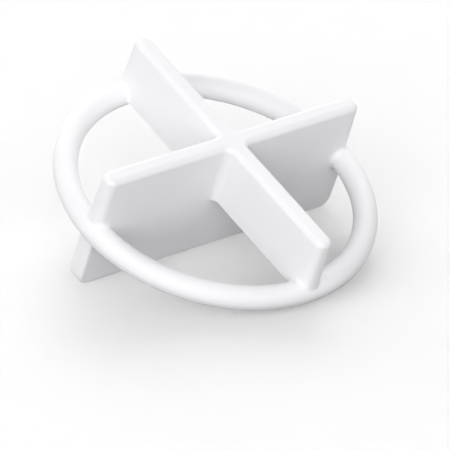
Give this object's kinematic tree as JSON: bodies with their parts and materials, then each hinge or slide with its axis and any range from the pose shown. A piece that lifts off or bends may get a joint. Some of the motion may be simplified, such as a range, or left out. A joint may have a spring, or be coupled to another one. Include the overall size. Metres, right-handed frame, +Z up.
{
  "type": "tile spacer",
  "caption": "Ringed tile spacer: a round pull ring carries crossed blades for corner joints on one side and a straight blade for plain joints on the other.",
  "frame": {"origin": "on the floor, under the middle of what the spacer covers as it lies at rest", "axes": "+Z up from the floor, +X along the deep blade, +Y across it, towards the side where the ring is raised"},
  "size_m": [0.0346, 0.0344, 0.0195],
  "materials": {
    "moulded_plastic": "white, injection moulded, fine matt"
  },
  "bodies": {
    "root": {"tile_spacer": "moulded_plastic"}
  },
  "joints": []
}
